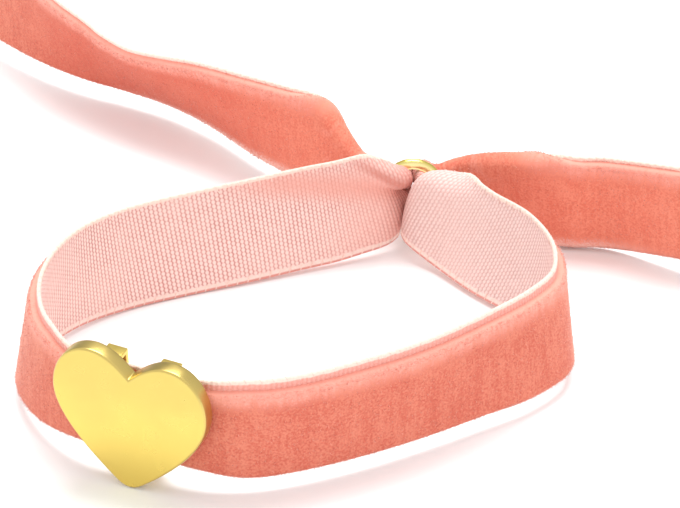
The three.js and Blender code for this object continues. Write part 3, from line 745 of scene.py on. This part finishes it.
def woven_material():
    groove, ridge, worn = (0.57, 0.225, 0.19), (0.95, 0.69, 0.64), (0.95, 0.62, 0.55)
    gathered, deep, paler = (0.86, 0.4, 0.33), (0.62, 0.17, 0.12), (0.74, 0.58, 0.55)
    front, selvedge_low, selvedge_top = (0.84, 0.35, 0.28), (0.93, 0.7, 0.63), (0.93, 0.7, 0.6)
    underside = (0.72, 0.3, 0.25)
    # painted shade of the pleat under the left roll and of its crease. Its middle across the ribbon
    # runs up with the distance from the ring: slope, start, reach, share, end, tint
    painted_shades = (
        (0.25, 4.9, 2.3, 0.75, 24.0, (0.83, 0.37, 0.3)),
        (0.5, 5.0, 0.8, 0.7, 10.0, (0.62, 0.2, 0.15)),
    )
    m = Nodes("woven_back", 0.75)
    rib, width, run = (m.attribute(name) for name in ("rib", "width", "run"))
    # the weave: ribs, with dots on them that change places from rib to rib
    along = m.math("COSINE", m.math("MULTIPLY", rib, 2 * math.pi / RIB_PITCH))
    half = m.math("COSINE", m.math("MULTIPLY", rib, math.pi / RIB_PITCH))
    across = m.math("COSINE", m.math("MULTIPLY", width, 2 * math.pi / DOT_PITCH))
    dots = m.math("MULTIPLY", half, across)
    weave = m.math("MULTIPLY_ADD", along, 0.5, m.math("MULTIPLY", dots, 0.55))
    grain = m.noise(m.vector(m.math("MULTIPLY", rib, 1.2), m.math("MULTIPLY", width, 1.2)), 1.0, 3.0)
    uneven = m.math("MULTIPLY_ADD", m.math("SUBTRACT", grain, 0.5), 0.5, weave)
    thread = m.mix(m.ramp(uneven, -0.8, 0.35), groove, ridge)
    broad = m.noise(m.vector(m.math("MULTIPLY", run, 0.12), m.math("MULTIPLY", width, 0.1)), 1.0, 2.0)
    thread = m.mix(m.ramp(broad, 0.35, 0.7, 0.0, 0.3), thread, worn)

    # deeper where the ring gathers it, and paler on the bend before the right gather
    for middle, reach, share in ((RING_RUNS[0], 14.0, 0.5), (RING_RUNS[1], 7.0, 0.25)):
        near = m.math("ABSOLUTE", m.math("SUBTRACT", run, middle))
        thread = m.mix(m.ramp(near, reach, 2.5, 0.0, share), thread, gathered)
        thread = m.mix(m.ramp(near, 6.0, 2.0, 0.0, share), thread, deep)
    bend = m.math("MULTIPLY", m.ramp(run, 168.0, 180.0, 0.0, 0.4), m.ramp(run, 199.0, 195.0))
    thread = m.mix(bend, thread, paler)
    past = m.math("SUBTRACT", run, RING_RUNS[0])
    # painted shade along the pleat and in its crease
    for slope, start, reach, share, end, tint in painted_shades:
        middle = m.math("MULTIPLY_ADD", past, slope, start)
        away = m.math("ABSOLUTE", m.math("SUBTRACT", middle, width))
        near = m.math("MULTIPLY", m.ramp(past, 1.0, 3.0), m.ramp(past, end, 0.6 * end))
        thread = m.mix(m.math("MULTIPLY", m.ramp(away, reach, 0.1, 0.0, share), near), thread, tint)
    thread = m.mix(m.math("MULTIPLY", m.attribute("front"), 0.8), thread, front)

    # the bound edges, with a frayed border towards the weave
    from_edge = m.math("MINIMUM", width, m.math("SUBTRACT", RIBBON_WIDTH, width))
    frayed = m.math("MULTIPLY_ADD", m.math("SUBTRACT", grain, 0.5), 0.3, from_edge)
    bound = m.mix(m.ramp(width, 2.0, 8.0), selvedge_low, selvedge_top)
    bound = m.mix(m.ramp(width, 0.36, 0.22), bound, underside)
    border = m.ramp(width, 2.0, 8.0, 0.72, 0.42)
    m.color(m.mix(m.ramp(m.math("SUBTRACT", frayed, border), 0.0, -0.15), thread, bound))
    m.bump(uneven, 0.7, 0.05)
    m.shader.inputs["Sheen Weight"].default_value = 0.15
    return m.material


def velvet_material():
    dark, light = (0.6, 0.122, 0.075), (0.73, 0.22, 0.142)
    # painted light for the tails near the ring, and painted highlight for the crushed spots
    tail_lit_dark, tail_lit_bright, crushed_highlight = (0.93, 0.26, 0.16), (1.0, 0.36, 0.24), (0.96, 0.5, 0.42)
    # painted shade for the leaning left tail, and painted highlight for the upper edge
    leaning_shade, top_highlight = (0.57, 0.085, 0.048), (0.9, 0.37, 0.29)
    low_edge, frayed = (0.93, 0.42, 0.34), (1.0, 0.7, 0.62)
    # each tail: where the ring sits, the way out along the run, and where its frayed edge ends
    tails = ((RING_RUNS[0], -1.0, 42.0), (RING_RUNS[1], 1.0, 30.0))
    m = Nodes("velvet_pile", 0.9)
    run, width, from_top = (m.attribute(name) for name in ("run", "width", "from_top"))
    # the nap: grain, patches and streaks
    fine = m.noise(m.place(), 5200.0, 2.0)
    patch = m.noise(m.place(), 420.0, 3.0)
    streak = m.noise(m.vector(m.math("MULTIPLY", run, 2.2), m.math("MULTIPLY", width, 0.16)), 1.0, 3.0)
    tone = m.math("MULTIPLY_ADD", patch, 0.3, m.math("MULTIPLY_ADD", streak, 0.3, 0.2))
    tone = m.math("MULTIPLY_ADD", m.math("SUBTRACT", fine, 0.5), 0.7, tone)
    tone = m.ramp(tone, 0.35, 0.65)
    base = m.mix(tone, dark, light)

    # painted light: the tails are brighter near the ring, and the crushed spots next to it are painted
    # highlight
    crush_highlight_mask = m.noise(m.vector(m.math("MULTIPLY", run, 0.9), m.math("MULTIPLY", width, 1.1)), 1.0, 4.0)
    crush_highlight_mask = m.ramp(crush_highlight_mask, 0.5, 0.72, 0.0, 0.45)
    for middle, way, _end in tails:
        past = m.math("MULTIPLY", m.math("SUBTRACT", run, middle), way)
        tail = m.math("MULTIPLY", m.ramp(past, 2.0, 8.0, 0.0, 0.42), m.ramp(past, 44.0, 22.0))
        base = m.mix(tail, base, m.mix(tone, tail_lit_dark, tail_lit_bright))
        near = m.math("MULTIPLY", m.ramp(past, 1.0, 3.0), m.ramp(past, 13.0, 5.0))
        base = m.mix(m.math("MULTIPLY", near, crush_highlight_mask), base, crushed_highlight)

    # the left tail leans back, and painted shade makes its nap darker there; it also shines less
    past = m.math("SUBTRACT", RING_RUNS[0], run)
    leaning = m.math("MULTIPLY", m.ramp(past, 10.0, 24.0), m.ramp(past, 54.0, 42.0))
    base = m.mix(m.math("MULTIPLY", leaning, 0.52), base, leaning_shade)
    m.put(m.shader.inputs["Sheen Weight"], m.math("MULTIPLY_ADD", leaning, -0.25, 0.45))

    # painted highlight on the upper edge, where the pile catches the light; then the lower edge and the
    # frayed lower edges of the tails
    top_glint = m.math("MULTIPLY_ADD", m.math("SUBTRACT", fine, 0.5), 2.0, from_top)
    top_glint = m.math("MULTIPLY_ADD", m.math("SUBTRACT", streak, 0.5), 1.5, top_glint)
    base = m.mix(m.ramp(top_glint, 1.9, -0.1), base, top_highlight)
    from_foot = m.math("SUBTRACT", width, PILE_FOOT)
    base = m.mix(m.ramp(from_foot, 0.4, 0.0), base, low_edge)
    fray = m.ramp(m.math("MULTIPLY_ADD", fine, 2.0, from_foot), 2.5, 1.0)
    for middle, way, end in tails:
        past = m.math("MULTIPLY", m.math("SUBTRACT", run, middle), way)
        worn = m.math("MULTIPLY", m.ramp(past, 8.0, 12.0, 0.0, 0.85), m.ramp(past, end, end - 14.0))
        base = m.mix(m.math("MULTIPLY", worn, fray), base, frayed)
    m.color(base)
    m.bump(fine, 0.5, 0.06)
    m.shader.inputs["Sheen Roughness"].default_value = 0.35
    m.shader.inputs["Sheen Tint"].default_value = (1.0, 0.7, 0.6, 1)
    return m.material


def thread_material(name, dark, light):
    m = Nodes(name, 0.8)
    m.color(m.mix(m.ramp(m.attribute("tone"), 0.1, 0.9), dark, light))
    m.bump(m.noise(m.place(), 9000.0), 0.3, 0.03)
    m.shader.inputs["Sheen Weight"].default_value = 0.3
    return m.material


def gold_material(name, low, high, rim_shade, roughness, brushed):
    """Gold plate: tints of its face low down and high up (painted shade over its height) and painted
    shade on its rims, and how brushed.
    """
    m = Nodes(name, roughness, 1.0)
    broad = m.noise(m.place(), 110.0, 2.0)
    # painted shade with height, where the part marks it, and on the rims below
    uneven = m.math("MULTIPLY_ADD", m.math("SUBTRACT", broad, 0.5), 0.6, m.attribute("up"))
    face = m.mix(m.ramp(uneven, 0.25, 0.85), low, high)
    m.color(m.mix(m.attribute("rim_shade"), face, rim_shade))
    fine = m.noise(m.place(), 700.0, 2.0)
    m.put(m.shader.inputs["Roughness"], m.ramp(fine, 0.3, 0.7, roughness - 0.03, roughness + 0.05))
    m.bump(m.math("MULTIPLY_ADD", broad, 2.0, fine), brushed, 0.02)
    return m.material


fibres = thread_material("loose_fibres", (0.8, 0.26, 0.18), (0.95, 0.5, 0.42))
thread = thread_material("selvedge_thread", (0.9, 0.6, 0.52), (0.94, 0.73, 0.64))
# the heart's face is painted darker high up, and both rims darker, as shade
heart_gold = gold_material(
    "heart_gold", (0.81, 0.61, 0.155), (0.67, 0.505, 0.14), (0.61, 0.46, 0.145), 0.3, 0.1)
ring_gold = gold_material(
    "ring_gold", (0.97, 0.84, 0.4), (0.92, 0.77, 0.3), (0.6, 0.48, 0.12), 0.24, 0.03)
for piece, material in ((woven, woven_material()), (pile, velvet_material()), (fuzz, fibres),
                        (edge_fuzz, fibres), (stitches, thread), (plate, heart_gold),
                        (loops, heart_gold), (ring, ring_gold)):
    piece.data.materials.append(material)


# ---------- floor ----------

bpy.ops.mesh.primitive_plane_add(size=4.0)
floor = bpy.context.object
floor.name = "floor"
ground = Nodes("floor", 0.7)
speck = ground.noise(ground.place(), 60.0)
ground.color(ground.mix(speck, (0.93, 0.96, 0.97), (0.945, 0.975, 0.985)))
ground.shader.inputs["Emission Color"].default_value = (1.0, 1.0, 1.0, 1)
ground.shader.inputs["Emission Strength"].default_value = 0.03
floor.data.materials.append(ground.material)


# ---------- light ----------

world = bpy.data.worlds.new("world")
bpy.context.scene.world = world
world.use_nodes = True
tree = world.node_tree
sky = tree.nodes["Background"]
sky.inputs["Strength"].default_value = 1.11
where = tree.nodes.new("ShaderNodeTexCoord")
apart = tree.nodes.new("ShaderNodeSeparateXYZ")
tree.links.new(where.outputs["Generated"], apart.inputs[0])
dim = tree.nodes.new("ShaderNodeMapRange")
dim.interpolation_type = "SMOOTHSTEP"
# the sky is full at the camera's side and dim behind the bracelet
for socket, value in zip(dim.inputs[1:5], (0.1, 0.9, 1.0, 0.45)):
    socket.default_value = value
tree.links.new(apart.outputs["Y"], dim.inputs[0])
tree.links.new(dim.outputs[0], sky.inputs["Color"])


def softbox(name, place, size, power):
    light = bpy.data.lights.new(name, "AREA")
    light.shape = "RECTANGLE"
    light.size, light.size_y = size
    light.energy = power
    obj = bpy.data.objects.new(name, light)
    bpy.context.scene.collection.objects.link(obj)
    obj.location = place
    obj.rotation_euler = (Vector((0, 0, 0)) - Vector(place)).to_track_quat("-Z", "Y").to_euler()


softbox("top", (0.03, 0.13, 0.53), (0.34, 0.26), 2.4)
bpy.context.scene.view_settings.view_transform = "Standard"
